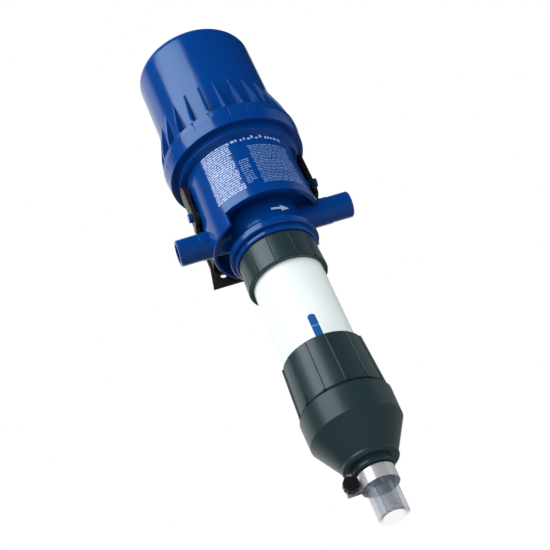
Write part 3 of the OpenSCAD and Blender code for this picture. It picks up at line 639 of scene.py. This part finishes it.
class PUMP_OT_flow_arrow(bpy.types.Operator):
    """Arrow on the neck that shows which way the water flows"""

    bl_idname = "pump.flow_arrow"
    bl_label = "Flow arrow"

    def execute(self, context):
        length = context.scene.pump_marks.arrow_length
        height = -0.0078
        start = math.radians(7) * NECK_RADIUS
        shaft_share = 0.52
        shaft = length * shaft_share
        shaft_half, head_half, tip_half = 0.0012, 0.0036, 0.0001
        shaft_steps, head_steps = 5, 6
        steps = shaft_steps + 1 + head_steps
        mesh = bmesh.new()
        bmesh.ops.create_grid(mesh, x_segments=steps, y_segments=1, size=0.5, matrix=UPRIGHT)
        for vert in mesh.verts:
            step = round((vert.co.x + 0.5) * steps)
            side = 1 if vert.co.z > 0 else -1
            if step <= shaft_steps:
                along = shaft * step / shaft_steps
                half = shaft_half
            else:
                along = shaft + (length - shaft) * (step - shaft_steps - 1) / head_steps
                half = head_half * (steps - step) / head_steps + tip_half
            vert.co = Vector((start + along, 0, height + side * half))
        ink = printed_ink("arrow paint", shade(190, 208, 240))
        add_mark(
            "flow_arrow", mesh, lambda _: NECK_RADIUS, lift=0.00025, depth=0.0005, ink=ink,
        )
        return {"FINISHED"}


class PUMP_OT_index_mark(bpy.types.Operator):
    """Blue index strip on the dosing cylinder, with plain graduation lines"""

    bl_idname = "pump.index_mark"
    bl_label = "Index mark"

    def execute(self, context):
        half = context.scene.pump_marks.mark_width / 2
        centre = math.radians(-4.4) * CYLINDER_RADIUS
        self.add_strip(centre, half, longest=0.0009)
        self.add_lines(centre, half, longest=0.0009)
        return {"FINISHED"}

    def add_strip(self, centre, half, longest):
        """The strip, with an arched top."""
        top, bottom, arch_share = -0.1325, -0.2, 0.75
        shoulder = top - half
        strip = bmesh.new()
        flat_bar(strip, centre - half, centre + half, bottom, shoulder, longest)
        arch = [edge for edge in strip.edges
                if all(abs(vert.co.z - shoulder) < 1e-6 for vert in edge.verts)]
        grown = bmesh.ops.extrude_edge_only(strip, edges=arch)
        for vert in (item for item in grown["geom"] if isinstance(item, bmesh.types.BMVert)):
            across = (vert.co.x - centre) / half
            vert.co.z = shoulder + half * arch_share * math.sqrt(max(0.01, 1 - across * across))
        ink = printed_ink("index blue", shade(16, 88, 162), roughness=0.3)
        add_mark(
            "index_mark", strip, lambda _: CYLINDER_RADIUS, lift=0.00012, depth=0.0003, ink=ink,
        )

    def add_lines(self, centre, half, longest):
        """The graduation lines across the strip."""
        first, pitch, line_half, count = -0.1465, 0.0118, 0.0006, 5
        lines = bmesh.new()
        for step in range(count):
            height = first - pitch * step
            flat_bar(lines, centre - half, centre + half, height - line_half, height + line_half, longest)
        ink = printed_ink("index light", shade(84, 160, 216), roughness=0.3)
        add_mark(
            "index_lines", lines, lambda _: CYLINDER_RADIUS, lift=0.0002, depth=0.0003, ink=ink,
        )


class PUMP_OT_body_print(bpy.types.Operator):
    """Blocks of plain bars where a body like this carries its printed table"""

    bl_idname = "pump.body_print"
    bl_label = "Printed bars on the body"

    def execute(self, context):
        rows = context.scene.pump_marks.print_rows
        chance = random.Random(5)
        strong, faint = bmesh.new(), bmesh.new()
        for mesh, left, right, top, bottom, count, weight in (
            (strong, -47.0, -13.0, 0.0705, 0.0085, rows, 0.5),
            (faint, -11.0, 0.0, 0.044, 0.0125, rows // 2, 0.36),
            (faint, 4.0, 50.0, 0.0595, 0.0085, rows, 0.36),
        ):
            self.add_rows(mesh, chance, left, right, top, bottom, count, weight)
        self.add_heading(strong, chance, left=-14, right=46)
        for name, mesh, ink in (
            ("body_print", strong, printed_ink("pale print", shade(176, 196, 236), roughness=0.35)),
            ("faint_print", faint, printed_ink("faint print", shade(118, 154, 210), roughness=0.35)),
        ):
            add_mark(name, mesh, wall_radius, lift=0.00008, depth=0.0002, ink=ink)
        return {"FINISHED"}

    def add_rows(self, mesh, chance, left, right, top, bottom, count, weight):
        """A block of rows between two angles in degrees, with bars of a weight from 0 to 1."""
        pitch = (top - bottom) / count
        indents, shortfalls, halves = (0, 1.5), (0, 0.5, 1, 4), (0.4, 0.5, 0.6)
        lengths, gaps, shortest = (0.0011, 0.0062), (0.0005, 0.0012), 0.001
        for row in range(count):
            height = top - row * pitch
            radius = wall_radius(height)
            place = math.radians(left + chance.uniform(*indents)) * radius
            end = math.radians(right - chance.choice(shortfalls)) * radius
            half = pitch * weight * chance.choice(halves)
            while place < end - shortest:
                stop = min(place + chance.uniform(*lengths), end)
                flat_bar(mesh, place, stop, height - half, height + half)
                place = stop + chance.uniform(*gaps)

    def add_heading(self, mesh, chance, left, right):
        """A broken line of uneven bars above the blocks, between two angles in degrees."""
        radius = 0.0556
        widths, gaps = (0.0014, 0.0036), (0.0007, 0.0034)
        bottoms, heights = (0.0682, 0.0688, 0.0694), (0.002, 0.0028, 0.0036)
        place = math.radians(left) * radius
        while place < math.radians(right) * radius:
            width = chance.uniform(*widths)
            low = chance.choice(bottoms)
            flat_bar(mesh, place, place + width, low, low + chance.choice(heights))
            place += width + chance.uniform(*gaps)


def from_front(azimuth, elevation, distance, centre):
    """A point seen from the pump at an azimuth from its front, plus towards +X."""
    side, rise = math.radians(azimuth), math.radians(elevation)
    step = Vector((math.sin(side) * math.cos(rise), -math.cos(side) * math.cos(rise), math.sin(rise)))
    return centre + step * distance


def soft_light(name, azimuth, elevation, distance, width, height, power, centre):
    """A soft light that points at a centre and that the camera doesn't see."""
    lamp = bpy.data.lights.new(name, "AREA")
    lamp.shape = "RECTANGLE"
    lamp.size, lamp.size_y, lamp.energy = width, height, power
    light = bpy.data.objects.new(name, lamp)
    bpy.context.scene.collection.objects.link(light)
    place = from_front(azimuth, elevation, distance, centre)
    turn = (centre - place).to_track_quat("-Z", "Y")
    light.matrix_world = Matrix.Translation(place) @ turn.to_matrix().to_4x4()
    light.visible_camera = False
    return light


class PUMP_OT_stage(bpy.types.Operator):
    """Pale floor, soft studio light and the camera"""

    bl_idname = "pump.stage"
    bl_label = "Stage"

    def execute(self, context):
        look = context.scene.pump_stage
        self.add_camera(look)
        self.add_floor(look)
        self.add_lights(look)
        self.add_world(look)
        context.scene.view_settings.view_transform = "Standard"
        return {"FINISHED"}

    def add_camera(self, look):
        """The photograph's camera: low at the front left, looking up, rolled so that the pump leans."""
        heading = Matrix.Rotation(math.radians(-13.4), 4, "Z")
        tilt_sine, tilt_cosine = 0.5693, 0.8221
        roll_sine, roll_cosine = 0.4115, 0.9114
        forward = Vector((0.1905, 0.7998, 0.5693)).normalized()
        rise = heading @ Vector((0, -tilt_sine, tilt_cosine))
        side = heading @ Vector((1, 0, 0))
        right = roll_cosine * side - roll_sine * rise
        up = roll_sine * side + roll_cosine * rise
        data = bpy.data.cameras.new("camera")
        data.lens = look.lens
        data.sensor_width = 36
        data.shift_x, data.shift_y = -0.0164, -0.0073
        data.clip_start, data.clip_end = 0.01, 50
        camera = bpy.data.objects.new("camera", data)
        bpy.context.scene.collection.objects.link(camera)
        turn = Matrix((right, up, -forward)).transposed().to_4x4()
        camera.matrix_world = Matrix.Translation(Vector(look.eye)) @ turn
        bpy.context.scene.camera = camera

    def add_floor(self, look):
        """A floor that is near white for the camera and grey for the light that it sends back."""
        half_width, whiteness = 5, 0.85
        mesh = bmesh.new()
        bmesh.ops.create_grid(
            mesh, x_segments=8, y_segments=8, size=half_width, matrix=Matrix.Translation((0, 0, look.floor)),
        )
        data = bpy.data.meshes.new("floor")
        mesh.to_mesh(data)
        mesh.free()
        floor = bpy.data.objects.new("floor", data)
        bpy.context.scene.collection.objects.link(floor)
        material, finish = new_finish("pale floor")
        seen = finish.node("ShaderNodeLightPath", output="Is Camera Ray")
        matt = finish.node("ShaderNodeBsdfDiffuse", inputs={"Color": (0.3, 0.3, 0.31, 1)})
        glow = finish.node("ShaderNodeEmission", inputs={"Color": WHITE, "Strength": 1.0})
        finish.close(finish.node("ShaderNodeMixShader", inputs={0: seen * whiteness, 1: matt, 2: glow}))
        data.materials.append(material)

    def add_lights(self, look):
        """Soft lights round the pump, of which the gloss shows only the key light and the card."""
        centre = Vector((0, AXIS_Y, STUB_Z))
        for name, azimuth, elevation, distance, width, height, power, in_gloss in (
            ("key_light", -46, 33, 1.4, 1.16, 0.95, look.key, True),
            ("side_card", 100, 6, 0.55, 0.85, 0.75, look.card, True),
            ("left_light", -75, 25, 1.4, 1.2, 1.2, look.left, False),
            ("front_light", -14, -6, 1.4, 1.0, 1.0, look.front, False),
            ("right_light", 65, -5, 1.8, 1.5, 1.5, look.right, False),
            ("back_light", -155, 18, 1.6, 1.2, 1.2, look.back, False),
            ("low_light", 70, -60, 0.9, 0.8, 0.8, look.low, False),
        ):
            light = soft_light(name, azimuth, elevation, distance, width, height, power, centre)
            light.visible_glossy = in_gloss

    def add_world(self, look):
        """White past the pump and, in its gloss, behind it; a soft light from all round."""
        world = bpy.data.worlds.new("studio")
        world.use_nodes = True
        bpy.context.scene.world = world
        finish = Finish(world.node_tree)
        direction = finish.node("ShaderNodeTexCoord", output="Generated")
        side, depth, height = (
            finish.node("ShaderNodeSeparateXYZ", inputs={0: direction}, output=axis) for axis in "XYZ"
        )
        azimuth = finish.work_out("ARCTAN2", side, 0 - depth)
        seen, glossy, through = (
            finish.node("ShaderNodeLightPath", output=f"Is {ray} Ray")
            for ray in ("Camera", "Glossy", "Transmission")
        )
        behind_left = (0 - azimuth).above(math.radians(114), softness=0.16)
        behind_right = azimuth.above(math.radians(148), softness=0.12)
        behind = (behind_left + behind_right) * glossy
        past = finish.work_out("MAXIMUM", finish.work_out("MAXIMUM", seen, through), behind)
        above, below = scaled(WHITE, look.ambient), scaled(WHITE, look.ambient * 0.5)
        around = finish.mix(height * 0.5 + 0.5, below, above)
        dim_gloss = (0.012, 0.013, 0.015, 1)
        around = finish.mix(glossy, around, dim_gloss)
        background = finish.node("ShaderNodeBackground", inputs={"Color": finish.mix(past, around, WHITE)})
        finish.node("ShaderNodeOutputWorld", inputs={"Surface": background})


class PUMP_PT_sidebar(bpy.types.Panel):
    """Lists the pump's settings and steps"""

    bl_idname = "PUMP_PT_sidebar"
    bl_label = "Dosing pump"
    bl_space_type = "VIEW_3D"
    bl_region_type = "UI"
    bl_category = "Dosing pump"

    def draw(self, context):
        column = self.layout.column()
        for group in (context.scene.pump_finish, context.scene.pump_marks, context.scene.pump_stage):
            for name in group.bl_rna.properties.keys():
                if name not in ("rna_type", "name"):
                    column.prop(group, name)
        for step in STEPS:
            column.operator(step.bl_idname)


SETTINGS = (
    ("pump_finish", PumpFinishSettings),
    ("pump_marks", PumpMarkSettings),
    ("pump_stage", PumpStageSettings),
)
STEPS = (
    PUMP_OT_finish_housing,
    PUMP_OT_finish_dark_parts,
    PUMP_OT_finish_pale_parts,
    PUMP_OT_finish_seals,
    PUMP_OT_finish_metal,
    PUMP_OT_springs,
    PUMP_OT_finish_hose,
    PUMP_OT_flow_arrow,
    PUMP_OT_index_mark,
    PUMP_OT_body_print,
    PUMP_OT_stage,
)


def register():
    for name, group in SETTINGS:
        bpy.utils.register_class(group)
        setattr(bpy.types.Scene, name, PointerProperty(type=group))
    for step in STEPS:
        bpy.utils.register_class(step)
    bpy.utils.register_class(PUMP_PT_sidebar)


def unregister():
    bpy.utils.unregister_class(PUMP_PT_sidebar)
    for step in reversed(STEPS):
        bpy.utils.unregister_class(step)
    for name, group in reversed(SETTINGS):
        delattr(bpy.types.Scene, name)
        bpy.utils.unregister_class(group)


def main():
    register()
    bpy.ops.pump.finish_housing()
    bpy.ops.pump.finish_dark_parts()
    bpy.ops.pump.finish_pale_parts()
    bpy.ops.pump.finish_seals()
    bpy.ops.pump.finish_metal()
    bpy.ops.pump.springs()
    bpy.ops.pump.finish_hose()
    bpy.ops.pump.flow_arrow()
    bpy.ops.pump.index_mark()
    bpy.ops.pump.body_print()
    bpy.ops.pump.stage()


if __name__ == "__main__":
    main()
